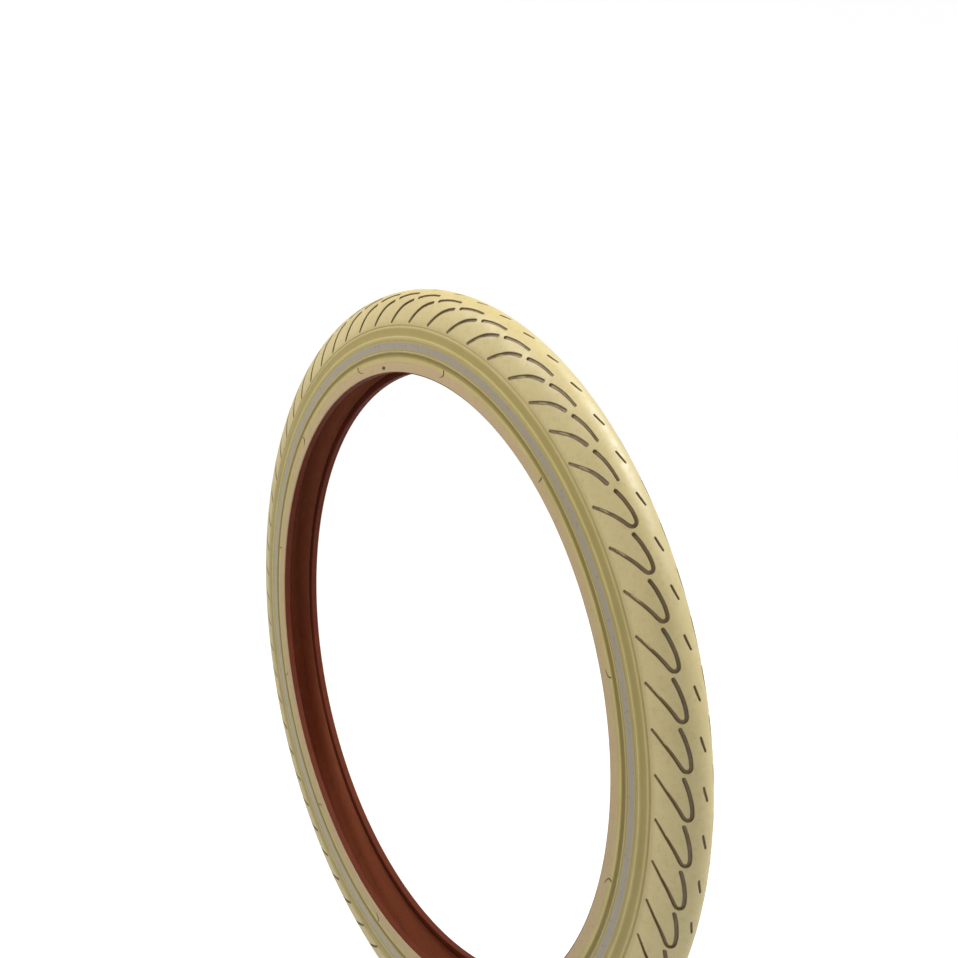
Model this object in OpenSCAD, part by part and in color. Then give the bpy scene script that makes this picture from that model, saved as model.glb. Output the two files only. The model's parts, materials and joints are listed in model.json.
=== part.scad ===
// Wire-bead city bicycle tire, 47-406 (20 x 1.75), off the rim and in its free shape.
// It is a vulcanised lay-up: every layer is a ring about the wheel axis, and no piece moves.
// Frame: origin at the wheel centre, the wheel axis along +Y, +Z up, millimetres.

/* [Size] */
// Diameter of the rim shoulder that the beads sit on
bead_seat_d = 405.6; // [405:0.1:406.5]
// Outer diameter over the tread crown
outer_d = 512; // [508:0.5:516]
// Half width of the section at the tread shoulder
half_width = 14.9; // [14.4:0.1:16]
// How far each sidewall swells outward between the bead and the shoulder
wall_bulge = 0.7; // [0.3:0.1:1.2]

/* [Radii of the bands on the sidewall] */
// Radius where the straight wall turns into the crown
mid_r = 236.5; // [236:0.1:238]
// Radius of the tread edge on the sidewall
shoulder_r = 233.5; // [233:0.1:234.5]
// Radius where the turned-up edge of the inner ply ends
turn_up_r = 226; // [225:0.1:228]
// Outer radius of the rim strip on the outside of the bead
rim_strip_r = 210; // [209:0.1:211]
// Inner radius of the reflective strip
strip_inner_r = 217.2; // [216.8:0.1:218]
// Outer radius of the reflective strip
strip_outer_r = 223.5; // [222:0.1:224]
// Radius at the top of the bead filler, just under the rim line
filler_tip_r = 213.5; // [212.5:0.1:214]

/* [Layer thickness] */
// Tread rubber at the crown
tread_t = 3.0; // [2.5:0.1:3.5]
// Puncture belt under the tread
belt_t = 0.8; // [0.5:0.1:1.2]
// One ply of rubber-coated cord
ply_t = 0.4; // [0.3:0.05:0.5]
// Inner skim of rubber
liner_t = 0.3; // [0.2:0.05:0.4]
// Sidewall rubber outside the turned-up ply
side_rubber_t = 0.7; // [0.6:0.05:1]
// Reflective strip, let flush into the sidewall
strip_t = 0.25; // [0.15:0.05:0.35]

/* [Bead] */
// Distance from the middle plane to the bead toe
toe_y = 9.9; // [9.5:0.1:10.2]
// Height of the upright bead toe above the seat
toe_h = 5.2; // [5.1:0.1:5.6]
// Chafer strip round the bead
chafer_t = 0.5; // [0.4:0.05:0.6]
// Cloth wrap round the wire bundle
wrap_t = 0.25; // [0.2:0.05:0.3]
// Diameter of one bead wire
wire_d = 1.1; // [0.9:0.05:1.1]
// Distance between the centres of neighbouring wires
wire_pitch = 1.2; // [1.15:0.01:1.2]

/* [Moulded lines] */
// Height of the raised rings on the sidewall
ring_h = 0.3; // [0.1:0.05:0.4]
// Depth of the rim line groove
groove_depth = 0.35; // [0.2:0.05:0.45]

/* [Hidden] */

seat_r = bead_seat_d / 2;
crown_r = outer_d / 2;
toe_top_r = seat_r + toe_h;
heel_h = 0.6;                  // the rim strip stops this far above the seat
belt_half_angle = 55;          // the belt ends this far round the crown, in degrees
angle_step = 5;                // spacing of the points round the crown, in degrees
ring_radii = [strip_outer_r + 2.2, shoulder_r - 1.6];
ring_foot = 0.8;               // half width of a raised ring at its foot
ring_top = 0.35;               // half width of a raised ring at its top
groove_top_r = filler_tip_r + 2.2;
groove_side = 0.4;             // radial run of the groove's sloping sides
wire_rows = 3;
wire_columns = 2;
ROUND = 180;

// Half widths of the layer faces on the straight wall, from the outside in
outer_w = half_width;
turn_up_w = outer_w - side_rubber_t;
casing_w = turn_up_w - ply_t;
between_w = casing_w - ply_t;
ply_in_w = between_w - ply_t;
liner_in_w = ply_in_w - liner_t;

// Crown radii of the same faces
belt_out_r = crown_r - tread_t;
casing_r = belt_out_r - belt_t;
between_r = casing_r - ply_t;
ply_in_r = between_r - ply_t;
liner_in_r = ply_in_r - liner_t;

// Radii at which every wall face has a point, so that neighbouring faces coincide
wall_radii = [
    seat_r, seat_r + heel_h, toe_top_r, rim_strip_r, filler_tip_r, groove_top_r, strip_inner_r,
    strip_outer_r, turn_up_r, 230, shoulder_r, mid_r
];

// Points of the profile are [radius, y]; the right side has positive y
function swell(r) = wall_bulge * sin(180 * (r - seat_r) / (mid_r - seat_r));
function wall_point(w, r) = [r, w + swell(r)];
function wall(w, low, high) = [
    for (r = wall_radii) if (r > low - 0.001 && r < high + 0.001) wall_point(w, r)
];
// Points round the crown from angle a0 to a1, measured from the middle plane
function crown(w, r, a0, a1) = [
    for (a = [a0 : angle_step : a1]) [mid_r + (r - mid_r) * cos(a), w * sin(a)]
];
function reversed(list) = [for (i = [len(list) - 1 : -1 : 0]) list[i]];
function mirrored(list) = [for (p = list) [p[0], -p[1]]];
// One face of the lay-up, from the left wall at radius low over the crown to the right wall
function full_face(w, r, low) = concat(
    mirrored(wall(w, low, mid_r - 0.01)), crown(w, r, -90, 90), reversed(wall(w, low, mid_r - 0.01))
);

// A raised ring on the outer face of the sidewall, from the inner radius out
function ring_points(r) = [
    wall_point(outer_w, r - ring_foot), wall_point(outer_w + ring_h, r - ring_top),
    wall_point(outer_w + ring_h, r + ring_top), wall_point(outer_w, r + ring_foot)
];

// Turns a profile of [radius, y] points about the wheel axis
module ring_of(points) {
    rotate([-90, 0, 0]) rotate_extrude($fn = ROUND) polygon(points);
}

// Builds a right-hand child on its own side, or mirrors it to the left
module on_side(right) {
    if (right) children();
    else mirror([0, 1, 0]) children();
}

module tread() {
    under_belt = concat(
        crown(casing_w, casing_r, -90, -belt_half_angle),
        crown(casing_w, belt_out_r, -belt_half_angle, belt_half_angle),
        crown(casing_w, casing_r, belt_half_angle, 90)
    );
    color("khaki")
        ring_of(concat(
            full_face(outer_w, crown_r, shoulder_r),
            reversed(concat(
                mirrored(wall(casing_w, shoulder_r, mid_r - 0.01)), under_belt,
                reversed(wall(casing_w, shoulder_r, mid_r - 0.01))
            ))
        ));
}

module puncture_belt() {
    color("sandybrown")
        ring_of(concat(
            crown(casing_w, belt_out_r, -belt_half_angle, belt_half_angle),
            reversed(crown(casing_w, casing_r, -belt_half_angle, belt_half_angle))
        ));
}

module outer_ply() {
    color("tan")
        ring_of(concat(
            full_face(casing_w, casing_r, filler_tip_r),
            reversed(full_face(between_w, between_r, filler_tip_r))
        ));
}

// The ply runs from bead to bead, passes under both wire bundles and turns up the outside
module inner_ply() {
    under_r = seat_r + chafer_t;
    toe = toe_y + chafer_t;
    inner_half = concat(
        reversed(wall(ply_in_w, filler_tip_r, mid_r - 0.01)),
        [[toe_top_r, toe], [under_r, toe], wall_point(turn_up_w, under_r)],
        wall(turn_up_w, seat_r + heel_h, turn_up_r)
    );
    outer_half = concat(
        reversed(wall(between_w, filler_tip_r, mid_r - 0.01)),
        [[toe_top_r, toe + ply_t], [under_r + ply_t, toe + ply_t], wall_point(casing_w, under_r + ply_t)],
        wall(casing_w, toe_top_r, turn_up_r)
    );
    color("peru")
        ring_of(concat(
            reversed(mirrored(inner_half)), crown(ply_in_w, ply_in_r, -90, 90), inner_half,
            reversed(outer_half), reversed(crown(between_w, between_r, -90, 90)), mirrored(outer_half)
        ));
}

module inner_liner() {
    toe = toe_y + chafer_t;
    outer_half = concat(reversed(wall(ply_in_w, filler_tip_r, mid_r - 0.01)), [[toe_top_r, toe]]);
    inner_half = concat(
        reversed(wall(liner_in_w, filler_tip_r, mid_r - 0.01)), [[toe_top_r, toe - liner_t]]
    );
    color("saddlebrown")
        ring_of(concat(
            reversed(mirrored(outer_half)), crown(ply_in_w, ply_in_r, -90, 90), outer_half,
            reversed(inner_half), reversed(crown(liner_in_w, liner_in_r, -90, 90)), mirrored(inner_half)
        ));
}

// Wire bundle: the middle of its pocket, and the top of the pocket
wrap_in_y = toe_y + chafer_t + ply_t + wrap_t;
wrap_out_w = casing_w - wrap_t;
pocket_r = seat_r + chafer_t + ply_t + wrap_t;
pocket_top_r = pocket_r + wire_rows * wire_pitch;
bundle_y = (wrap_in_y + wrap_out_w) / 2;

module bead_wires(right) {
    color("silver")
        on_side(right)
            for (row = [0 : wire_rows - 1], column = [0 : wire_columns - 1])
                rotate([-90, 0, 0]) rotate_extrude($fn = ROUND)
                    translate([
                        pocket_r + wire_pitch * (row + 0.5),
                        bundle_y + wire_pitch * (column - (wire_columns - 1) / 2)
                    ])
                        circle(d = wire_d, $fn = 32);
}

module bead_wrap(right) {
    wrap_r = seat_r + chafer_t + ply_t;
    color("burlywood")
        on_side(right)
            ring_of([
                [toe_top_r, wrap_in_y - wrap_t], [wrap_r, wrap_in_y - wrap_t],
                wall_point(casing_w, wrap_r), wall_point(casing_w, toe_top_r),
                wall_point(wrap_out_w, toe_top_r), wall_point(wrap_out_w, pocket_r),
                [pocket_r, wrap_in_y], [toe_top_r, wrap_in_y]
            ]);
}

module bead_filler(right) {
    color("dimgray")
        on_side(right)
            ring_of([
                [pocket_top_r, wrap_in_y], [toe_top_r, wrap_in_y], [toe_top_r, wrap_in_y - wrap_t],
                wall_point(between_w, filler_tip_r), wall_point(casing_w, filler_tip_r),
                wall_point(casing_w, toe_top_r), wall_point(wrap_out_w, toe_top_r),
                wall_point(wrap_out_w, pocket_top_r)
            ]);
}

module chafer(right) {
    seat_out_y = turn_up_w + swell(seat_r + chafer_t);
    color("saddlebrown")
        on_side(right)
            ring_of([
                [toe_top_r, toe_y], [seat_r, toe_y], [seat_r, seat_out_y],
                [seat_r + chafer_t, seat_out_y], [seat_r + chafer_t, toe_y + chafer_t],
                [toe_top_r, toe_y + chafer_t]
            ]);
}

module rim_strip(right) {
    color("bisque")
        on_side(right)
            ring_of(concat(
                wall(outer_w, seat_r + heel_h, rim_strip_r),
                reversed(wall(turn_up_w, seat_r + heel_h, rim_strip_r))
            ));
}

module sidewall(right) {
    groove_w = outer_w - groove_depth;
    strip_w = outer_w - strip_t;
    outer_path = concat(
        wall(outer_w, rim_strip_r, filler_tip_r),
        [
            wall_point(groove_w, filler_tip_r + groove_side),
            wall_point(groove_w, groove_top_r - groove_side), wall_point(outer_w, groove_top_r),
            wall_point(outer_w, strip_inner_r), wall_point(strip_w, strip_inner_r),
            wall_point(strip_w, strip_outer_r), wall_point(outer_w, strip_outer_r)
        ],
        ring_points(ring_radii[0]), ring_points(ring_radii[1]), [wall_point(outer_w, shoulder_r)]
    );
    inner_path = concat(
        wall(turn_up_w, rim_strip_r, turn_up_r), wall(casing_w, turn_up_r, shoulder_r)
    );
    color("khaki")
        on_side(right)
            ring_of(concat(outer_path, reversed(inner_path)));
}

module reflective_strip(right) {
    strip_w = outer_w - strip_t;
    color("lightslategray")
        on_side(right)
            ring_of([
                wall_point(outer_w, strip_inner_r), wall_point(outer_w, strip_outer_r),
                wall_point(strip_w, strip_outer_r), wall_point(strip_w, strip_inner_r)
            ]);
}

tread();
puncture_belt();
outer_ply();
inner_ply();
inner_liner();
bead_wires(false);  // bead_wires_left
bead_wires(true);  // bead_wires_right
bead_filler(false);  // bead_filler_left
bead_filler(true);  // bead_filler_right
bead_wrap(false);  // bead_wrap_left
bead_wrap(true);  // bead_wrap_right
chafer(false);  // chafer_left
chafer(true);  // chafer_right
rim_strip(false);  // rim_strip_left
rim_strip(true);  // rim_strip_right
sidewall(false);  // sidewall_left
sidewall(true);  // sidewall_right
reflective_strip(false);  // reflective_strip_left
reflective_strip(true);  // reflective_strip_right
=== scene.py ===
"""Cream city bicycle tire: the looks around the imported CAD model.

The tire is a ring about the Y axis. A place on it is given by its angle round the wheel, and either by
(radius, y) in the section or by (along, across) on the unrolled tread, where across is 0 on the crown.
"""
import json
import math

import bpy
from mathutils import Euler, Matrix, Vector
from mathutils.geometry import delaunay_2d_cdt


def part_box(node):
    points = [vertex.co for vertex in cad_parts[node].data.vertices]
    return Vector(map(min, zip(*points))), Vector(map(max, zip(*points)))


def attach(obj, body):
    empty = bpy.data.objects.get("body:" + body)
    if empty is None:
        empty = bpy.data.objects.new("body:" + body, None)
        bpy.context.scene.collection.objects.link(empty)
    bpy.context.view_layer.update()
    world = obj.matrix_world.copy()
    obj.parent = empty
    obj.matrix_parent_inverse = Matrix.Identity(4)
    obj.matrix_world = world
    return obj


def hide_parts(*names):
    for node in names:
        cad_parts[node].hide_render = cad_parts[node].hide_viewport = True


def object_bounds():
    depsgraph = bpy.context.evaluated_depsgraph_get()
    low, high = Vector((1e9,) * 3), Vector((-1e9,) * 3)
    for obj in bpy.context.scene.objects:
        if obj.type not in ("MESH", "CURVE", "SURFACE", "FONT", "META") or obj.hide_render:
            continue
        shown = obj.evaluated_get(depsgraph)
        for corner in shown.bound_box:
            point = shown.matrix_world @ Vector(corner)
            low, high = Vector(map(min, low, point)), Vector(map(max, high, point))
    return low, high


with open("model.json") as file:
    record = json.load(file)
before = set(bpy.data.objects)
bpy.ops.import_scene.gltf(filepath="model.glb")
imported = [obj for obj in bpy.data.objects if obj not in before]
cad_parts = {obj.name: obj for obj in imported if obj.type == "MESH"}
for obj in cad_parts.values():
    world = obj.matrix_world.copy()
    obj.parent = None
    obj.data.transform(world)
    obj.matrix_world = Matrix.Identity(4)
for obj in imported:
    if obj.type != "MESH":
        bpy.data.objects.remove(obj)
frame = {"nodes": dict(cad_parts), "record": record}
cad_low, cad_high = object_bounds()

MM = 0.001
BODY = "root"
SIDES = {"left": -1, "right": 1}

# ---------------------------------------------------------------- sizes read from the frame
record = frame["record"]
rim_seat = next(m for m in record["mounts"] if m["name"] == "rim_seat")
SEAT_R = rim_seat["dims"]["r_mm"] * MM
SEAT_OUT_Y = rim_seat["dims"]["length_mm"] * MM / 2
OUTLINE_FLATS = 0.08 * MM      # the CAD tread's flats lie less than this inside its circle
CROWN_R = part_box("tread")[1].z - OUTLINE_FLATS
BELT_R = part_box("puncture_belt")[1].z
SHOULDER_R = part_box("sidewall_right")[1].z
STRIP_OUT_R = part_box("reflective_strip_right")[1].z
PLY_IN_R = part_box("inner_liner")[1].z
TOE_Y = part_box("chafer_right")[0].y
TOE_TOP_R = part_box("chafer_right")[1].z
RIM_STRIP_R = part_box("rim_strip_right")[1].z

# ---------------------------------------------------------------- the section
MID_R = 236.5 * MM             # the straight wall turns into the crown here
HALF_WIDTH = 14.9 * MM         # half width at the shoulder
WALL_SWELL = 0.7 * MM          # outward swell of the wall between bead and shoulder
RUBBER_T = 0.7 * MM            # sidewall rubber
EDGE_T = 1.1 * MM              # tread rubber at its edge
LINER_W = 12.7 * MM            # half width of the inner face of the skim
LINER_T = 0.3 * MM
STRIP_IN_R = 217.2 * MM
STRIP_T = 0.25 * MM
CHAFER_T = 0.5 * MM
TURN_UP_R = 226.0 * MM         # the wall steps inward here, past the end of the turned-up ply
FLANK_TOP_R = 213.5 * MM       # the inner flank of the bead meets the wall here
HEEL = 0.6 * MM                # the rim strip starts this far outside the seat, with a rounded edge
RELIEF_STEP = 0.3 * MM         # spacing of the section's points where it has moulded lines
WALL_STEP = 4 * MM             # spacing of the section's points on plain wall

# ---------------------------------------------------------------- the tread pattern
PITCHES = 66                   # sipe groups round the tire
TREAD_R = 250.0 * MM           # radius at which distances along the tread are measured
PITCH = 2 * math.pi / PITCHES * TREAD_R
FIRST_SIPE = math.radians(87.6)  # angle of one shoulder sipe's outer end
LIP = 0.22 * MM                # rounding outside a sipe's edge
APRON = 0.42 * MM              # smooth ground outside the lip
FLOOR_INSET = 0.26 * MM        # lean of the sipe's walls
LIP_DROP = 0.10 * MM
STEINER = 1.7 * MM             # spacing of the free points between the sipes
STEINER_ROW = 0.87             # height of a row of free points as a share of their spacing
EDGE_CLEAR = 0.8 * MM          # free points keep this far from the cell's edge
SIPE_CLEAR = 1.2 * MM          # and this far outside the apron
EDGE_STEP = 1.0 * MM           # spacing of points along the cell's edge
CURVE_STEPS = 5                # points of a sipe's centre line for each one given
CAP_STEPS = 5                  # sides of the half round at a sipe's end
THIN_EDGE = 9 * MM             # the sipes get shallower within this distance of the tread's edge
SHALLOWEST = 0.4               # depth of a sipe at the tread's edge as a share of its full depth
WAIST_AT = 0.4                 # place of a sipe's waist, as a share of its length
ARC_STEPS, SHOULDER_STEPS = 180, 8  # of the tread's section, from the crown down to its edge

# Centre line of each sipe as (along, across) in millimetres, its half width at the start, waist and
# end, and its depth at the deepest
ROWS = {
    "shoulder": dict(
        line=[(-3.4, 28.3), (0.8, 24.9), (5.15, 21.5), (10.1, 17.9), (15.1, 15.4), (19.4, 13.8)],
        widths=(0.92, 1.02, 1.12), depth=1.4),
    "middle": dict(
        line=[(0.9, 11.9), (4.8, 10.6), (8.9, 9.5), (14.2, 8.6), (20.2, 8.0)],
        widths=(1.05, 0.95, 0.80), depth=1.2),
    "crown": dict(
        line=[(5.7, 1.9), (9.0, 1.0), (12.4, -0.2)],
        widths=(0.66, 0.74, 0.66), depth=1.0),
}
# In some groups a shorter shoulder sipe turns back at its end and runs into the middle sipe
HAIRPIN = dict(
    line=[
        (1.9, 26.9), (4.8, 23.8), (8.6, 20.3), (12.6, 16.9), (16.6, 14.1), (19.4, 12.4), (20.9, 10.9),
        (20.9, 9.2), (19.2, 7.9), (14.2, 8.0), (8.9, 9.0), (4.8, 10.1), (0.9, 11.5)],
    widths=(0.92, 1.02, 1.02), depth=1.4)
HAIRPIN_GROUPS = range(9, 22)
CHAIN_CENTRE = 8.8             # the pattern turns into itself about this place on the crown, in mm
# Line between two neighbouring sipe groups, from the tread edge to the crown, in millimetres
CELL_LINE = [
    (8.3, 29.2), (10.6, 27.2), (15.0, 23.6), (18.6, 20.6), (21.2, 17.9), (22.6, 15.6), (22.95, 13.6),
    (22.95, 9.5), (22.8, 7.0), (22.2, 4.0), (CHAIN_CENTRE + PITCH / MM / 2, 0.0),
]


def smooth(t):
    """0 to 1 with flat ends."""
    t = min(max(t, 0.0), 1.0)
    return t * t * (3 - 2 * t)


def swell(r):
    """How far the wall stands outward at this radius."""
    return WALL_SWELL * math.sin(math.pi * (r - SEAT_R) / (MID_R - SEAT_R))


def wall_point(half, r):
    """(radius, y) on a wall face whose half width at the shoulder is half."""
    return r, half + swell(r)


def crown_point(half, top_r, angle):
    """(radius, y) on a crown face, at an angle from the middle plane."""
    return MID_R + (top_r - MID_R) * math.cos(angle), half * math.sin(angle)


def on_wheel(theta, r, y):
    """The point at this angle round the wheel."""
    return Vector((r * math.cos(theta), y, r * math.sin(theta)))


# ---------------------------------------------------------------- meshes
def add_mesh(name, verts, faces, sharp_angle=40):
    """A mesh object with smooth shading that breaks at sharp edges."""
    mesh = bpy.data.meshes.new(name)
    mesh.from_pydata(verts, [], faces)
    mesh.validate()
    mesh.update()
    piece = bpy.data.objects.new(name, mesh)
    bpy.context.scene.collection.objects.link(piece)
    for polygon in mesh.polygons:
        polygon.use_smooth = True
    mesh.set_sharp_from_angle(angle=math.radians(sharp_angle))
    return piece


def turned(name, profile, segments, sharp_angle=40):
    """A closed profile of (radius, y) points turned about the wheel axis."""
    count = len(profile)
    verts, faces = [], []
    for i in range(segments):
        theta = 2 * math.pi * i / segments
        verts += [on_wheel(theta, r, y) for r, y in profile]
        here, after = i * count, (i + 1) % segments * count
        faces += [
            (here + j, here + (j + 1) % count, after + (j + 1) % count, after + j)
            for j in range(count)
        ]
    return add_mesh(name, verts, faces, sharp_angle)


def facing_out(profile):
    """The profile in the order that makes a turned mesh face outward."""
    area = sum(
        a[0] * b[1] - b[0] * a[1] for a, b in zip(profile, profile[1:] + profile[:1])
    )
    return profile if area < 0 else profile[::-1]


def sided(profile, side):
    """A right-hand profile, or its mirror image for the left."""
    return facing_out([(r, y * SIDES[side]) for r, y in profile])


# ---------------------------------------------------------------- tread
def tread_section():
    """Points of the tread's outer face from crown to edge, as (distance from crown, radius, y)."""
    path = [
        crown_point(HALF_WIDTH, CROWN_R, math.radians(90 * i / ARC_STEPS)) for i in range(ARC_STEPS + 1)
    ]
    path += [
        wall_point(HALF_WIDTH, MID_R - (MID_R - SHOULDER_R) * i / SHOULDER_STEPS)
        for i in range(1, SHOULDER_STEPS + 1)
    ]
    measured, distance = [(0.0, *path[0])], 0.0
    for before, point in zip(path, path[1:]):
        distance += math.dist(before, point)
        measured.append((distance, *point))
    return measured


SECTION = tread_section()
HALF_ARC = SECTION[-1][0]


def section_at(across):
    """(radius, y, normal radius, normal y) of the tread's outer face at a distance from the crown."""
    distance, side = min(abs(across), HALF_ARC), math.copysign(1, across)
    index = next(i for i in range(1, len(SECTION)) if SECTION[i][0] >= distance - 1e-9)
    low, high = SECTION[index - 1], SECTION[index]
    t = (distance - low[0]) / (high[0] - low[0])
    r, y = low[1] + (high[1] - low[1]) * t, low[2] + (high[2] - low[2]) * t
    run_r, run_y = high[1] - low[1], high[2] - low[2]
    length = math.hypot(run_r, run_y)
    return r, y * side, run_y / length, -run_r / length * side


def tread_point(along, across, height):
    """The point at a place on the unrolled tread, height above its outer face.

    Across is positive on the left side of the tire.
    """
    r, y, normal_r, normal_y = section_at(across)
    theta = FIRST_SIPE - along / TREAD_R
    return on_wheel(theta, r + normal_r * height, -(y + normal_y * height))


def curve_through(points, steps):
    """Points of a Catmull-Rom curve through the given ones."""
    ends = [
        2 * Vector(points[0]) - Vector(points[1]), *map(Vector, points),
        2 * Vector(points[-1]) - Vector(points[-2]),
    ]
    made = []
    for a, b, c, d in zip(ends, ends[1:], ends[2:], ends[3:]):
        for i in range(steps):
            t = i / steps
            made.append(
                0.5 * (2 * b + (c - a) * t + (2 * a - 5 * b + 4 * c - d) * t ** 2
                       + (3 * b - a - 3 * c + d) * t ** 3)
            )
    return made + [ends[-2]]


def half_width_at(widths, t):
    """Half width of a sipe at t along it: it narrows to a waist between its two ends."""
    start, waist, end = widths
    if t < WAIST_AT:
        return start + (waist - start) * smooth(t / WAIST_AT)
    return waist + (end - waist) * smooth((t - WAIST_AT) / (1 - WAIST_AT))


def sipe_loop(line, widths, grow):
    """Closed outline round a sipe's centre line, grow outside its edge."""
    last = len(line) - 1
    left, right = [], []
    for i, point in enumerate(line):
        run = (line[min(i + 1, last)] - line[max(i - 1, 0)]).normalized()
        normal = Vector((-run.y, run.x))
        reach = half_width_at(widths, i / last) * MM + grow
        left.append(point + normal * reach)
        right.append(point - normal * reach)

    def cap(centre, start_point):
        arm = start_point - centre
        return [
            centre + Matrix.Rotation(-math.pi * k / CAP_STEPS, 2) @ arm for k in range(1, CAP_STEPS)
        ]

    return left + cap(line[last], left[last]) + right[::-1] + cap(line[0], right[0])


def near_points(point, line, limit):
    """True if the point is closer than limit to any of the line's points."""
    return any((point - q).length < limit for q in line)


def inside(point, polygon):
    """True if the point lies in the polygon."""
    hit = False
    for a, b in zip(polygon, polygon[1:] + polygon[:1]):
        if (a.y > point.y) != (b.y > point.y):
            hit ^= point.x < (b.x - a.x) * (point.y - a.y) / (b.y - a.y) + a.x
    return hit


def spaced(points, step):
    """The polyline with points no further apart than step."""
    made = [points[0]]
    for a, b in zip(points, points[1:]):
        count = max(1, math.ceil((b - a).length / step))
        made += [a.lerp(b, i / count) for i in range(1, count + 1)]
    return made


def in_metres(line):
    """A line given in millimetres, as vectors in metres."""
    return [Vector((along * MM, across * MM)) for along, across in line]


def turned_round(points):
    """The same points on the other side of the crown: the pattern has this symmetry."""
    return [Vector((2 * CHAIN_CENTRE * MM - p.x, -p.y)) for p in points]


def cell_outline():
    """Outline of one repeat of the tread: its line after the group, bottom, line before it, and top."""
    half_line = spaced(in_metres(CELL_LINE), EDGE_STEP)
    half_line[0].y = HALF_ARC
    shift = Vector((PITCH, 0))
    far_half = [p + shift for p in turned_round(half_line)][::-1]
    after = half_line + far_half[1:]
    before = [p - shift for p in after]
    top = spaced([before[0], after[0]], EDGE_STEP)[1:-1]
    bottom = spaced([after[-1], before[-1]], EDGE_STEP)[1:-1]
    return after, bottom, before[::-1], top


def sipe_lines(hairpin):
    """Centre line of every sipe in the cell, with the sizes of its row."""
    lines = []
    for row in [HAIRPIN] if hairpin else [ROWS["shoulder"], ROWS["middle"]]:
        line = curve_through(in_metres(row["line"]), CURVE_STEPS)
        lines += [(line, row), (turned_round(line), row)]
    row = ROWS["crown"]
    return lines + [(curve_through(in_metres(row["line"]), CURVE_STEPS), row)]


def sipe_depth(point, row, share):
    """Depth of a sipe at a point: it gets shallow where the tread thins towards its edge."""
    rubber = smooth((HALF_ARC - abs(point.y)) / THIN_EDGE)
    return -share * row["depth"] * MM * (SHALLOWEST + (1 - SHALLOWEST) * rubber)


def free_points(outline, lines):
    """Points of the plain ground between the sipes, on a staggered grid."""
    row_count = math.ceil(2 * HALF_ARC / (STEINER * STEINER_ROW))
    low_x, high_x = min(p.x for p in outline), max(p.x for p in outline)
    made = []
    for j in range(1, row_count):
        y = -HALF_ARC + 2 * HALF_ARC * j / row_count
        x = low_x + STEINER * (0.5 if j % 2 else 1.0)
        while x < high_x:
            point = Vector((x, y))
            clear = not near_points(point, outline, EDGE_CLEAR) and not any(
                near_points(point, line, APRON + SIPE_CLEAR) for line, _ in lines
            )
            if clear and inside(point, outline):
                made.append(point)
            x += STEINER
    return made


def tread_cell(hairpin):
    """One repeat of the tread: points as (along, across, height, groove), triangles, and its edges."""
    points, edges = [], []

    def add(point, height=0.0, groove=0.0):
        points.append((point.x, point.y, height, groove))
        return len(points) - 1

    parts = [[add(p) for p in part] for part in cell_outline()]
    after, bottom, before, top = parts
    face = after + bottom + before + top
    outline = [Vector(points[i][:2]) for i in face]

    # Each sipe is a set of nested outlines that step down from the apron to the floor
    lines = sipe_lines(hairpin)
    for line, row in lines:
        for grow, share, drop, groove in (
            (APRON, 0.0, 0.0, 0.0), (LIP, 0.0, 0.0, 0.15), (0.0, 0.0, LIP_DROP, 0.55),
            (-FLOOR_INSET, 0.85, 0.0, 1.0),
        ):
            loop = sipe_loop(line, row["widths"], grow)
            ring = [add(p, sipe_depth(p, row, share) - drop, groove) for p in loop]
            edges += list(zip(ring, ring[1:] + ring[:1]))
        spine = [add(p, sipe_depth(p, row, 1.0), 1.0) for p in line[1:-1]]
        edges += list(zip(spine, spine[1:]))
    for point in free_points(outline, lines):
        add(point)

    flat = [Vector(p[:2]) / MM for p in points]
    _, _, triangles, origin, _, _ = delaunay_2d_cdt(flat, edges, [face], 1, 1e-5)
    source = [ids[0] for ids in origin]
    triangles = [tuple(source[i] for i in reversed(t)) for t in triangles]
    twin = dict(zip(before, reversed(after)))
    return points, triangles, twin, top + [after[0]], bottom[::-1] + [after[-1]]


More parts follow.
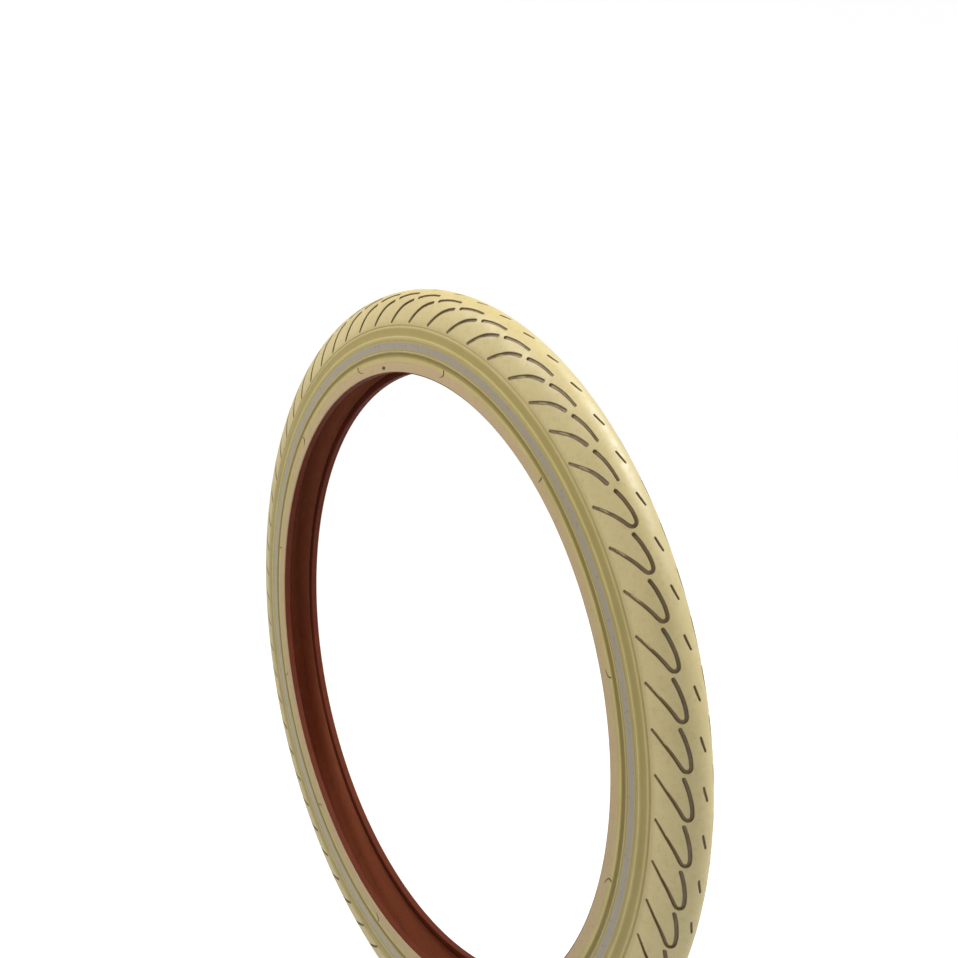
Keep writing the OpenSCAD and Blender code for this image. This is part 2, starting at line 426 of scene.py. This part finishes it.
def tread():
    """The tread: the moulded outer face, its two edges and the plain inner face, as one closed ring."""
    # Both cells have the same outline and its points come first, so twin, top and bottom hold for both
    plain, hooked = tread_cell(False), tread_cell(True)
    points, _, twin, top, bottom = plain
    verts, faces, groove, made = [], [], [], {}

    def vertex(k, i, cell=plain):
        if i in twin:
            k, i = k - 1, twin[i]
        key = (k % PITCHES, i)
        if key not in made:
            along, across, height, depth_share = cell[0][i]
            made[key] = len(verts)
            verts.append(tread_point(along + key[0] * PITCH, across, height))
            groove.append(depth_share)
        return made[key]

    for k in range(PITCHES):
        cell = hooked if k in HAIRPIN_GROUPS else plain
        faces += [tuple(vertex(k, i, cell) for i in t) for t in cell[1]]
    upper_rim = [vertex(k, i) for k in range(PITCHES) for i in top]
    lower_rim = [vertex(k, i) for k in range(PITCHES) for i in bottom]

    # Inner face: rows of points from edge to edge, turning from one rim's angles to the other's
    inner_half = HALF_WIDTH - EDGE_T
    path = [wall_point(inner_half, SHOULDER_R)]
    path += [crown_point(inner_half, BELT_R, math.radians(a)) for a in range(90, -91, -10)]
    path += [(SHOULDER_R, -path[0][1])]
    start = [points[i][0] + k * PITCH for k in range(PITCHES) for i in top]
    finish = [points[i][0] + k * PITCH for k in range(PITCHES) for i in bottom]
    count = len(start)
    bands = [upper_rim]
    for j, (r, y) in enumerate(path):
        share = j / (len(path) - 1)
        bands.append(list(range(len(verts), len(verts) + count)))
        for a, b in zip(start, finish):
            verts.append(on_wheel(FIRST_SIPE - (a + (b - a) * share) / TREAD_R, r, -y))
            groove.append(0.0)
    bands.append(lower_rim)
    for one, other in zip(bands, bands[1:]):
        faces += [
            (one[i], other[i], other[(i + 1) % count], one[(i + 1) % count]) for i in range(count)
        ]
    piece = add_mesh("tread_moulded", verts, faces, 35)
    # The groove share sets the painted shade and grime down in the sipes
    shade = piece.data.attributes.new("groove", "FLOAT", "POINT")
    shade.data.foreach_set("value", groove)
    return piece


# ---------------------------------------------------------------- sidewalls, strips, inside
WALL_SEGMENTS = 528            # sides of the rings turned about the wheel axis
# Raised rings and grooves of the rim strip and the sidewall: radius, height and half width, in millimetres
RELIEF = [
    (204.6, -0.10, 0.5), (209.9, 0.10, 0.4), (212.6, 0.14, 0.7), (214.7, -0.38, 1.35), (216.5, 0.12, 0.5),
    (224.2, 0.06, 0.4), (225.7, 0.22, 0.7), (227.4, -0.05, 0.5), (229.2, -0.16, 1.9), (231.9, 0.26, 0.9),
    (233.2, -0.22, 0.5),
]


def relief(r):
    """Height of the moulded lines on the rim strip and the sidewall at a radius."""
    total = 0.0
    for centre, height, reach in RELIEF:
        t = abs(r / MM - centre) / reach
        if t < 1:
            total += height * MM * smooth(1.6 * (1 - t))
    return total


def between(low, high, step):
    """Evenly spaced values from low to high."""
    count = max(1, round((high - low) / step))
    return [low + (high - low) * i / count for i in range(count + 1)]


def rim_strip(side):
    """Cloth strip on the outside of the bead, with a rounded heel."""
    heel_r, back = SEAT_R + HEEL, HALF_WIDTH - RUBBER_T
    outer = [
        (r, wall_point(HALF_WIDTH, r)[1] - drop * MM)
        for r, drop in ((heel_r, 0.40), (heel_r + 0.12 * MM, 0.17), (heel_r + 0.35 * MM, 0.04))
    ]
    outer += [
        (r, wall_point(HALF_WIDTH, r)[1] + relief(r))
        for r in between(heel_r + 0.7 * MM, RIM_STRIP_R, RELIEF_STEP)
    ]
    inner = [wall_point(back, r) for r in (heel_r, RIM_STRIP_R)]
    return turned(f"rim_strip_{side}_cloth", sided(outer + inner[::-1], side), WALL_SEGMENTS)


def sidewall(side):
    """Sidewall rubber with its moulded lines and the recess for the strip."""
    outer = []
    for low, high, recess in (
        (RIM_STRIP_R, STRIP_IN_R, 0.0), (STRIP_IN_R, STRIP_OUT_R, STRIP_T), (STRIP_OUT_R, SHOULDER_R, 0.0),
    ):
        for r in between(low, high, high - low if recess else RELIEF_STEP):
            outer.append((r, wall_point(HALF_WIDTH, r)[1] + (-recess if recess else relief(r))))
    inner = [wall_point(HALF_WIDTH - RUBBER_T, r) for r in between(RIM_STRIP_R, TURN_UP_R, 2 * WALL_STEP)]
    inner += [wall_point(HALF_WIDTH - EDGE_T, r) for r in between(TURN_UP_R, SHOULDER_R, WALL_STEP)]
    return turned(f"sidewall_{side}_moulded", sided(outer + inner[::-1], side), WALL_SEGMENTS)


def strip(side):
    """Reflective strip: a thin tape with rounded edges, let into the sidewall."""
    gap, rounding, face_step = 0.06 * MM, 0.3 * MM, 1.2 * MM
    low, high = STRIP_IN_R + gap, STRIP_OUT_R - gap
    # (radius, height over the wall in millimetres)
    outer = [(low, -0.10), (low + gap, -0.04)]
    outer += [(r, 0.02) for r in between(low + rounding, high - rounding, face_step)]
    outer += [(high - gap, -0.04), (high, -0.10)]
    face = [(r, wall_point(HALF_WIDTH, r)[1] + lift * MM) for r, lift in outer]
    back = [(r, wall_point(HALF_WIDTH - STRIP_T, r)[1]) for r in (low, high)]
    return turned(f"reflective_strip_{side}_tape", sided(face + back[::-1], side), WALL_SEGMENTS, 60)


def liner():
    """Red-brown skim inside the casing, from one bead toe over the crown to the other."""
    def half(w, top_r, toe):
        wall = [wall_point(w, r) for r in between(FLANK_TOP_R, MID_R - 2 * MM, WALL_STEP)]
        arc = [crown_point(w, top_r, math.radians(a)) for a in range(90, 0, -6)]
        return [(TOE_TOP_R, toe)] + wall + arc + [(top_r, 0.0)]

    toe = TOE_Y + CHAFER_T
    outer = half(LINER_W + LINER_T, PLY_IN_R, toe)
    inner = half(LINER_W, PLY_IN_R - LINER_T, toe - LINER_T)
    whole = [outer + [(r, -y) for r, y in outer[-2::-1]], inner + [(r, -y) for r, y in inner[-2::-1]]]
    return turned("inner_liner_skim", facing_out(whole[0] + whole[1][::-1]), WALL_SEGMENTS, 50)


def chafer(side):
    """Chafer strip: the bead seat and the toe, with a rounded corner."""
    corner, inner_corner = 0.55 * MM, 0.25 * MM
    bevel_r, bevel_y = 0.3 * MM, 0.15 * MM
    seat_from, seat_to, seat_step = TOE_Y + 1.2 * MM, SEAT_OUT_Y - 0.05 * MM, 1.0 * MM
    arc = [
        (SEAT_R + corner * (1 - math.sin(math.radians(a))), TOE_Y + corner * (1 - math.cos(math.radians(a))))
        for a in range(0, 91, 15)
    ]
    outer = [(TOE_TOP_R, TOE_Y + bevel_y), (TOE_TOP_R - bevel_r, TOE_Y), *arc]
    outer += [(SEAT_R, y) for y in between(seat_from, seat_to, seat_step)]
    back_r, back_y = SEAT_R + CHAFER_T, TOE_Y + CHAFER_T
    inner = [
        (back_r, seat_to), (back_r, back_y + inner_corner), (back_r + inner_corner, back_y),
        (TOE_TOP_R, back_y),
    ]
    return turned(f"chafer_{side}_strip", sided(outer + inner, side), WALL_SEGMENTS, 60)


# ---------------------------------------------------------------- mould hairs
HAIR_COUNT = 12                # the mould's vents, evenly round each side
HAIR_FIRST = math.radians(47)
HAIR_ROOT_R = 212.4 * MM
HAIR_LENGTH = 4.0 * MM         # the shortest
HAIR_EXTRA = 3.0 * MM          # the longest is this much longer
HAIR_HALF_T = 0.30 * MM        # half thickness at the root
HAIR_STEPS, HAIR_SIDES = 14, 6
GOLDEN_ANGLE = 2.399963        # steps of this angle spread the hairs' shapes evenly
VENT_R = 206.4 * MM
VENT_ANGLE = math.radians(97.4)
VENT_HALF_SIZE = (2.3 * MM, 1.2 * MM)  # round the wheel, and along its radius
VENT_SIDES = 20


def hair(side, number):
    """A curled whisker of rubber left by a mould vent on the bead band."""
    turn = number * GOLDEN_ANGLE
    length = HAIR_LENGTH + HAIR_EXTRA * (0.5 + 0.5 * math.sin(turn * 3))
    lean = 0.9 * math.sin(turn)
    base = HAIR_FIRST + number * 2 * math.pi / HAIR_COUNT
    path = []
    for i in range(HAIR_STEPS + 1):
        t = i / HAIR_STEPS
        r = HAIR_ROOT_R - length * t * (1 - 0.2 * t)
        bend = lean * length * (t ** 2 - 0.25 * math.sin(3 * t))
        lift = HAIR_HALF_T * 0.3
        y = (wall_point(HALF_WIDTH, r)[1] + relief(r) + lift) * SIDES[side]
        path.append(on_wheel(base + bend / r, r, y))
    verts, faces = [], []
    out = Vector((0, SIDES[side], 0))
    for i, point in enumerate(path):
        run = (path[min(i + 1, HAIR_STEPS)] - path[max(i - 1, 0)]).normalized()
        across = run.cross(out).normalized()
        reach = HAIR_HALF_T * (1 - 0.75 * (i / HAIR_STEPS) ** 2)
        for k in range(HAIR_SIDES):
            angle = 2 * math.pi * k / HAIR_SIDES
            vert = point + (across * math.cos(angle) + out * math.sin(angle)) * reach
            vert.y = min(max(vert.y, cad_low.y), cad_high.y)
            verts.append(vert)
    for i in range(HAIR_STEPS):
        for k in range(HAIR_SIDES):
            a, b = i * HAIR_SIDES + k, i * HAIR_SIDES + (k + 1) % HAIR_SIDES
            faces.append((a, b, b + HAIR_SIDES, a + HAIR_SIDES))
    tip = range(HAIR_STEPS * HAIR_SIDES, (HAIR_STEPS + 1) * HAIR_SIDES)
    faces += [tuple(range(HAIR_SIDES))[::-1], tuple(tip)]
    return verts, faces


def vent_mark():
    """A dark oval stub of rubber, left on the left bead band where a hair broke off."""
    verts, faces = [], []
    # Rings as (share of the half sizes, height over the wall in millimetres)
    for share, height in ((1.0, -0.05), (0.9, 0.22), (0.5, 0.34)):
        for k in range(VENT_SIDES):
            angle = 2 * math.pi * k / VENT_SIDES
            theta = VENT_ANGLE + VENT_HALF_SIZE[0] * share * math.cos(angle) / VENT_R
            r = VENT_R + VENT_HALF_SIZE[1] * share * math.sin(angle)
            verts.append(on_wheel(theta, r, -(wall_point(HALF_WIDTH, r)[1] + height * MM)))
    for j in range(2):
        for k in range(VENT_SIDES):
            a, b = j * VENT_SIDES + k, j * VENT_SIDES + (k + 1) % VENT_SIDES
            faces.append((a, a + VENT_SIDES, b + VENT_SIDES, b))
    faces += [tuple(range(2 * VENT_SIDES, 3 * VENT_SIDES))[::-1], tuple(range(VENT_SIDES))]
    return verts, faces


def hairs(side):
    """All the hairs of one side, as one piece."""
    verts, faces = vent_mark() if side == "left" else ([], [])
    for number in range(HAIR_COUNT):
        more_verts, more_faces = hair(side, number)
        faces += [tuple(i + len(verts) for i in face) for face in more_faces]
        verts += more_verts
    return add_mesh(f"mould_hairs_{side}", verts, faces, 60)


# ---------------------------------------------------------------- materials
class Material:
    """Short calls for building one material's nodes around its shader."""

    def __init__(self, name, **sockets):
        self.data = bpy.data.materials.new(name)
        self.data.use_nodes = True
        self.tree = self.data.node_tree
        self.shader = self.tree.nodes["Principled BSDF"]
        for socket, value in sockets.items():
            self.shader.inputs[socket.replace("_", " ")].default_value = value

    def node(self, kind, settings=None, **inputs):
        """A node with some settings and inputs; an input is a value or another node's output."""
        made = self.tree.nodes.new(kind)
        for key, value in (settings or {}).items():
            setattr(made, key, value)
        for key, value in inputs.items():
            socket = made.inputs[int(key[1:])] if key[0] == "i" and key[1:].isdigit() else made.inputs[key]
            if isinstance(value, bpy.types.NodeSocket):
                self.tree.links.new(value, socket)
            else:
                socket.default_value = value
        return made

    def position(self):
        """The point on the wheel, in metres."""
        return self.node("ShaderNodeTexCoord").outputs["Object"]

    def maths(self, operation, a, b=0.0):
        """One step of arithmetic on values or other nodes' outputs."""
        return self.node("ShaderNodeMath", {"operation": operation}, i0=a, i1=b).outputs[0]

    def noise(self, size, detail=3.0, roughness=0.55, distortion=0.0):
        """Noise whose blobs are about size metres across, from 0 to 1."""
        made = self.node(
            "ShaderNodeTexNoise", Vector=self.position(), Scale=1 / size, Detail=detail,
            Roughness=roughness, Distortion=distortion)
        return made.outputs["Fac"]

    def cells(self, size):
        """Distance to the nearest of many scattered points, about size metres apart."""
        made = self.node("ShaderNodeTexVoronoi", Vector=self.position(), Scale=1 / size)
        return made.outputs["Distance"]

    def spread(self, value, low, high, to_low=0.0, to_high=1.0):
        """The value stretched from low..high to to_low..to_high."""
        made = self.node("ShaderNodeMapRange", None, i0=value, i1=low, i2=high, i3=to_low, i4=to_high)
        return made.outputs[0]

    def mix(self, share, a, b, blend="MIX"):
        """Two colours mixed; each is a colour or another node's output."""
        made = self.node("ShaderNodeMix", {"data_type": "RGBA", "blend_type": blend})
        for socket, value in ((made.inputs[0], share), (made.inputs[6], a), (made.inputs[7], b)):
            if isinstance(value, bpy.types.NodeSocket):
                self.tree.links.new(value, socket)
            else:
                socket.default_value = value
        return made.outputs[2]

    def ramp(self, value, stops):
        """Colours along a value, from a list of (place, colour)."""
        made = self.node("ShaderNodeValToRGB", None, Fac=value)
        elements = made.color_ramp.elements
        while len(elements) < len(stops):
            elements.new(0.5)
        for element, (place, colour) in zip(elements, stops):
            element.position = place
            element.color = colour
        return made.outputs["Color"]

    def wheel(self):
        """(angle round the wheel, radius, y) of the point."""
        split = self.node("ShaderNodeSeparateXYZ", None, Vector=self.position())
        x, y, z = split.outputs
        square = self.maths("ADD", self.maths("MULTIPLY", x, x), self.maths("MULTIPLY", z, z))
        return self.maths("ARCTAN2", z, x), self.maths("SQRT", square), y

    def bumps(self, *layers):
        """Bump layers as (height, strength, distance in metres), one on top of the other."""
        normal = None
        for height, strength, distance in layers:
            made = self.node("ShaderNodeBump", None, Height=height, Strength=strength, Distance=distance)
            if normal:
                self.tree.links.new(normal, made.inputs["Normal"])
            normal = made.outputs["Normal"]
        self.tree.links.new(normal, self.shader.inputs["Normal"])

    def finish(self, colour=None, roughness=None):
        """Connects a colour and a roughness, where they vary."""
        if colour is not None:
            self.tree.links.new(colour, self.shader.inputs["Base Color"])
        if roughness is not None:
            self.tree.links.new(roughness, self.shader.inputs["Roughness"])
        return self.data


def rgb(*screen):
    """A linear colour from three screen values, 0 to 255, by the sRGB curve."""
    return tuple(
        ((v / 255 + 0.055) / 1.055) ** 2.4 if v > 10 else v / 255 / 12.92 for v in screen
    ) + (1.0,)


def rubber_grain(made, strength=1.0):
    """Fine grain that a spark-eroded mould leaves on rubber, with wider unevenness under it."""
    made.bumps(
        (made.noise(14 * MM, 2.0), 0.25 * strength, 0.6 * MM),
        (made.noise(1.1 * MM, 3.0, 0.6), 0.30 * strength, 0.12 * MM),
        (made.cells(0.55 * MM), 0.30 * strength, 0.05 * MM),
    )


def tread_rubber():
    """Cream rubber with worn patches and specks, darker at its edge, and with painted shade and grime down
    in the sipes.
    """
    made = Material("tread_rubber", Specular_IOR_Level=0.8)
    ground = made.mix(made.noise(22 * MM, 4.0, 0.6, 0.4), rgb(153, 138, 88), rgb(167, 153, 106))
    worn = made.spread(made.noise(3.2 * MM, 4.0, 0.7), 0.52, 0.75, 0.0, 0.5)
    ground = made.mix(worn, ground, rgb(137, 121, 70))
    specks = made.spread(made.noise(0.7 * MM, 2.0, 0.5), 0.66, 0.74, 0.0, 0.5)
    ground = made.mix(specks, ground, rgb(104, 88, 43))
    _, radius, _ = made.wheel()
    edge = made.spread(radius, SHOULDER_R + 0.4 * MM, SHOULDER_R + 3.5 * MM, 0.55, 0.0)
    ground = made.mix(edge, ground, rgb(135, 119, 67))
    # Painted shade with grime: darker down in the sipes, by the groove share stored on the mesh
    depth = made.node("ShaderNodeAttribute", {"attribute_name": "groove"}).outputs["Fac"]
    patchy = made.spread(made.noise(6 * MM), 0.2, 0.8, 0.8, 1.0)
    grime_and_shade = made.maths("MULTIPLY", made.spread(depth, 0.1, 0.8), patchy)
    colour = made.mix(grime_and_shade, ground, rgb(83, 61, 14))
    rubber_grain(made)
    return made.finish(colour, made.spread(made.noise(5 * MM), 0.3, 0.7, 0.48, 0.66))


def sidewall_rubber():
    """Cream rubber in bands by radius, with painted shade in the moulded grooves and painted highlights on
    the raised rings, and with patches and specks.
    """
    made = Material("sidewall_rubber", Specular_IOR_Level=0.4)
    _, radius, _ = made.wheel()
    low, high = 209 * MM, 234 * MM
    # Painted shade in the grooves and painted highlights on the raised rings, as (radius in millimetres,
    # screen colour)
    bands = [
        (209.6, (150, 136, 86)), (212.4, (155, 141, 88)), (213.4, (113, 99, 42)), (214.4, (99, 84, 33)),
        (215.4, (100, 86, 35)), (216.3, (148, 134, 81)), (217.3, (137, 125, 74)), (223.6, (132, 119, 69)),
        (225.0, (146, 134, 81)), (225.7, (164, 151, 99)), (226.6, (134, 120, 67)), (227.6, (127, 114, 59)),
        (230.2, (129, 115, 62)), (231.2, (144, 130, 79)), (232.0, (157, 143, 93)), (233.3, (128, 112, 62)),
    ]
    wander = made.spread(made.noise(9 * MM, 3.0), 0.0, 1.0, -0.25 * MM, 0.25 * MM)
    place_in = made.spread(made.maths("ADD", radius, wander), low, high)
    colour = made.ramp(place_in, [((r * MM - low) / (high - low), rgb(*c)) for r, c in bands])
    patches = made.spread(made.noise(26 * MM, 4.0, 0.6, 0.6), 0.35, 0.75, 0.0, 0.30)
    colour = made.mix(patches, colour, rgb(118, 104, 53))
    specks = made.spread(made.noise(0.8 * MM, 2.0, 0.5), 0.64, 0.74, 0.0, 0.4)
    colour = made.mix(specks, colour, rgb(86, 72, 32))
    rubber_grain(made, 0.8)
    return made.finish(colour, made.spread(made.noise(6 * MM), 0.3, 0.7, 0.46, 0.62))


def rim_strip_cloth():
    """Cream cloth strip with a pinkish cast, its weave just showing through the rubber."""
    made = Material("rim_strip_cloth", Specular_IOR_Level=0.35)
    weave = made.maths("MULTIPLY", cords(made, 0.7 * MM, 1), cords(made, 0.7 * MM, -1))
    ground = made.mix(made.noise(24 * MM, 4.0, 0.6, 0.5), rgb(148, 124, 95), rgb(149, 133, 94))
    ground = made.mix(made.maths("MULTIPLY", weave, 0.3), ground, rgb(167, 153, 121))
    stains = made.spread(made.noise(5 * MM, 5.0, 0.7), 0.56, 0.76, 0.0, 0.45)
    ground = made.mix(stains, ground, rgb(126, 103, 67))
    made.bumps((weave, 0.35, 0.10 * MM), (made.noise(0.8 * MM), 0.3, 0.05 * MM))
    return made.finish(ground, made.spread(made.noise(5 * MM), 0.3, 0.7, 0.50, 0.70))


def hair_rubber():
    """Dark whiskers of rubber that stood in the mould's vents."""
    made = Material("hair_rubber", Specular_IOR_Level=0.4)
    ground = made.mix(made.noise(4 * MM), rgb(44, 30, 14), rgb(72, 52, 26))
    made.bumps((made.noise(0.5 * MM), 0.4, 0.05 * MM))
    return made.finish(ground, made.spread(made.noise(2 * MM), 0.3, 0.7, 0.45, 0.65))


def reflective_tape():
    """Grey glass-bead tape; a skin of the sidewall's rubber laps over its two edges."""
    made = Material(
        "reflective_tape", Metallic=0.2, Specular_IOR_Level=0.5, Coat_Weight=0.1, Coat_Roughness=0.35)
    beads = made.cells(0.35 * MM)
    ground = made.mix(made.noise(18 * MM, 4.0, 0.6), rgb(106, 97, 80), rgb(122, 113, 97))
    ground = made.mix(made.spread(beads, 0.1, 0.6, 0.0, 0.5), ground, rgb(136, 128, 115))
    scuffs = made.spread(made.noise(2.4 * MM, 5.0, 0.75), 0.56, 0.70, 0.0, 0.6)
    ground = made.mix(scuffs, ground, rgb(84, 75, 50))
    _, radius, _ = made.wheel()
    wander = made.spread(made.noise(4 * MM, 4.0, 0.7), 0.0, 1.0, -0.3 * MM, 0.3 * MM)
    place_in = made.maths("ADD", radius, wander)
    lap = made.maths(
        "MAXIMUM", made.spread(place_in, STRIP_IN_R + 0.8 * MM, STRIP_IN_R + 1.2 * MM, 1.0, 0.0),
        made.spread(place_in, STRIP_OUT_R - 1.5 * MM, STRIP_OUT_R - 1.1 * MM))
    ground = made.mix(lap, ground, rgb(134, 120, 70))
    made.bumps((made.noise(8 * MM, 2.0), 0.2, 0.3 * MM), (beads, 0.5, 0.06 * MM), (lap, 0.6, 0.10 * MM))
    return made.finish(ground, made.spread(scuffs, 0.0, 0.6, 0.34, 0.55))


def cords(made, spacing, way):
    """Stripes of cord at 45 degrees round the casing, from 0 to 1; way is 1 or -1 for the cords' slant."""
    angle, radius, y = made.wheel()
    mean_r = 235 * MM          # the cords are spaced right at this radius
    around = round(2 * math.pi * mean_r / (spacing * math.sqrt(2)))
    up = made.maths("SUBTRACT", radius, made.maths("ABSOLUTE", y))
    phase = made.maths(
        "ADD", made.maths("MULTIPLY", angle, float(around)),
        made.maths("MULTIPLY", up, way * around / mean_r))
    return made.spread(made.maths("SINE", phase), -1.0, 1.0)


def liner_rubber():
    """Red-brown skim with the casing's cords showing through, and dust."""
    made = Material("liner_rubber", Specular_IOR_Level=0.3)
    patchy = made.spread(made.noise(12 * MM), 0.3, 0.7, 0.4, 1.0)
    over = made.maths("MULTIPLY", cords(made, 1.0 * MM, 1), patchy)
    under = cords(made, 1.0 * MM, -1)
    ground = made.mix(made.noise(20 * MM, 4.0, 0.6, 0.5), rgb(140, 78, 52), rgb(162, 98, 68))
    ground = made.mix(made.maths("MULTIPLY", over, 0.35), ground, rgb(174, 114, 82))
    dust = made.spread(made.noise(3 * MM, 5.0, 0.7), 0.55, 0.75, 0.0, 0.35)
    ground = made.mix(dust, ground, rgb(174, 124, 94))
    made.bumps((over, 0.5, 0.18 * MM), (under, 0.25, 0.10 * MM), (made.noise(0.6 * MM), 0.3, 0.06 * MM))
    return made.finish(ground, made.spread(made.noise(7 * MM), 0.3, 0.7, 0.58, 0.78))


def chafer_cloth():
    """Dark red-brown woven strip on the bead's seat and toe."""
    made = Material("chafer_cloth", Specular_IOR_Level=0.1)
    weave = made.maths("MULTIPLY", cords(made, 0.7 * MM, 1), cords(made, 0.7 * MM, -1))
    ground = made.mix(made.noise(15 * MM, 3.0), rgb(66, 20, 8), rgb(80, 32, 16))
    ground = made.mix(made.maths("MULTIPLY", weave, 0.5), ground, rgb(104, 58, 40))
    made.bumps((weave, 0.6, 0.12 * MM), (made.noise(0.8 * MM), 0.3, 0.05 * MM))
    return made.finish(ground, made.spread(made.noise(5 * MM), 0.3, 0.7, 0.60, 0.80))


def cord_fabric(name, dark, light, spacing, way=1):
    """Rubber-coated cord or cloth of a hidden layer."""
    made = Material(name, Specular_IOR_Level=0.25)
    threads = cords(made, spacing, way)
    ground = made.mix(made.noise(10 * MM, 3.0), rgb(*dark), rgb(*light))
    ground = made.mix(made.maths("MULTIPLY", threads, 0.5), ground, rgb(*[min(255, v + 30) for v in light]))
    made.bumps((threads, 0.6, 0.2 * MM), (made.noise(0.5 * MM), 0.3, 0.05 * MM))
    return made.finish(ground, made.spread(made.noise(4 * MM), 0.3, 0.7, 0.65, 0.85))


def plain_rubber(name, dark, light):
    """Rubber of a hidden layer, with fibres and grain."""
    made = Material(name, Specular_IOR_Level=0.35)
    ground = made.mix(made.noise(9 * MM, 4.0, 0.6, 1.5), rgb(*dark), rgb(*light))
    rubber_grain(made)
    return made.finish(ground, made.spread(made.noise(3 * MM), 0.3, 0.7, 0.55, 0.75))


def bead_steel():
    """Brass-coated drawn wire, slightly uneven along its length."""
    made = Material("bead_steel", Metallic=1.0)
    angle, _, _ = made.wheel()
    along_wire = made.maths("MULTIPLY", angle, 900.0)
    drawn = made.node("ShaderNodeTexNoise", {"noise_dimensions": "1D"}, W=along_wire, Detail=4.0)
    ground = made.mix(made.noise(6 * MM, 4.0), rgb(176, 150, 96), rgb(204, 186, 140))
    made.bumps((drawn.outputs["Fac"], 0.2, 0.03 * MM))
    return made.finish(ground, made.spread(made.noise(2 * MM, 5.0), 0.3, 0.7, 0.25, 0.45))


# ---------------------------------------------------------------- the object
def place(piece, finish, slot_name, *nodes):
    """Gives a piece its material and its body, and hides the CAD nodes that it stands for; slot_name is not
    used.
    """
    piece.data.materials.append(finish)
    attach(piece, BODY)
    if nodes:
        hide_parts(*nodes)


def repaint(node, finish):
    """Gives a CAD node that stays its detailed material."""
    piece = frame["nodes"][node]
    piece.data.materials.clear()
    piece.data.materials.append(finish)


def build():
    """Every piece of the tire, with its material."""
    wall, tape, vent = sidewall_rubber(), reflective_tape(), hair_rubber()
    cloth, rim_cloth = chafer_cloth(), rim_strip_cloth()
    place(tread(), tread_rubber(), "tread_rubber", "tread")
    place(liner(), liner_rubber(), "liner_rubber", "inner_liner")
    for side in SIDES:
        place(sidewall(side), wall, "sidewall_rubber", f"sidewall_{side}")
        place(strip(side), tape, "reflective_tape", f"reflective_strip_{side}")
        place(chafer(side), cloth, "chafer_cloth", f"chafer_{side}")
        place(rim_strip(side), rim_cloth, "rim_strip_cloth", f"rim_strip_{side}")
        place(hairs(side), vent, "sidewall_rubber")
    hidden = {
        "puncture_belt": plain_rubber("belt_rubber", (178, 124, 64), (206, 156, 92)),
        "outer_ply": cord_fabric("ply_cord_outer", (128, 98, 66), (160, 128, 92), 0.8 * MM, 1),
        "inner_ply": cord_fabric("ply_cord_inner", (120, 90, 60), (152, 120, 86), 0.8 * MM, -1),
    }
    wrap = cord_fabric("wrap_cloth", (150, 132, 100), (180, 164, 130), 0.5 * MM)
    filler = plain_rubber("filler_rubber", (34, 32, 30), (58, 54, 50))
    steel = bead_steel()
    for side in SIDES:
        hidden[f"bead_wires_{side}"] = steel
        hidden[f"bead_filler_{side}"] = filler
        hidden[f"bead_wrap_{side}"] = wrap
    for node, finish in hidden.items():
        repaint(node, finish)


# ---------------------------------------------------------------- camera, floor and light
CAMERA_AT = Vector((0.5700, -0.3463, 0.2466))
CAMERA_YAW = math.radians(55.67)
CAMERA_TILT = math.radians(9.71)
LENS = 38.49                   # on a sensor 36 mm wide


def add_camera():
    """The photograph's point of view."""
    data = bpy.data.cameras.new("view")
    data.lens, data.sensor_width = LENS, 36.0
    camera = bpy.data.objects.new("view", data)
    camera.location = CAMERA_AT
    camera.rotation_euler = Euler((math.pi / 2 - CAMERA_TILT, 0, CAMERA_YAW))
    bpy.context.scene.collection.objects.link(camera)
    bpy.context.scene.camera = camera


def add_backdrop():
    """A pale round floor that curves up into a wall all round."""
    flat_r, curve_r, rise, segments = 3.0, 1.0, 2.6, 96
    profile = [(flat_r * share, 0.0) for share in (0.2, 0.6, 1.0)]
    profile += [
        (flat_r + curve_r * math.sin(math.radians(a)), curve_r * (1 - math.cos(math.radians(a))))
        for a in range(6, 91, 6)
    ]
    profile.append((flat_r + curve_r, rise))
    verts, faces, rings = [(0.0, 0.0, 0.0)], [], len(profile)
    for i in range(segments):
        angle = 2 * math.pi * i / segments
        verts += [(r * math.cos(angle), r * math.sin(angle), z) for r, z in profile]
        here, after = 1 + i * rings, 1 + (i + 1) % segments * rings
        faces.append((0, here, after))
        faces += [(here + j, here + j + 1, after + j + 1, after + j) for j in range(rings - 1)]
    floor = add_mesh("floor", verts, faces, 180)
    floor.location.z = cad_low.z
    made = Material(
        "pale_floor", Roughness=0.9, Specular_IOR_Level=0.1, Emission_Color=(1.0, 1.0, 1.0, 1.0),
        Emission_Strength=0.82)
    grain = made.mix(made.noise(0.4, 3.0), rgb(134, 134, 134), rgb(138, 138, 138))
    floor.data.materials.append(made.finish(grain))


def add_light(name, place_at, target, size, power, colour=(1.0, 1.0, 1.0)):
    """A square soft light, aimed at a point."""
    data = bpy.data.lights.new(name, "AREA")
    data.size, data.energy, data.color = size, power, colour
    light = bpy.data.objects.new(name, data)
    light.location = place_at
    light.rotation_euler = (Vector(target) - Vector(place_at)).to_track_quat("-Z", "Y").to_euler()
    bpy.context.scene.collection.objects.link(light)


def add_lights():
    """A rim light from behind on the right, a light close above the top, and a dim surround."""
    centre = (0, 0, 0.1)
    add_light("rim", (0.77, 1.10, 1.84), centre, 1.0, 76, (0.96, 0.98, 1.0))
    add_light("top", (-0.14, -0.42, 0.82), (0.04, 0, 0.22), 0.5, 8, (1.0, 0.97, 0.90))
    world = bpy.data.worlds.new("surround")
    world.use_nodes = True
    world.node_tree.nodes["Background"].inputs["Color"].default_value = (1.0, 0.97, 0.90, 1.0)
    world.node_tree.nodes["Background"].inputs["Strength"].default_value = 0.10
    bpy.context.scene.world = world


build()
add_camera()
add_backdrop()
add_lights()
# Without a film curve the pale floor comes out white
bpy.context.scene.view_settings.view_transform = "Standard"
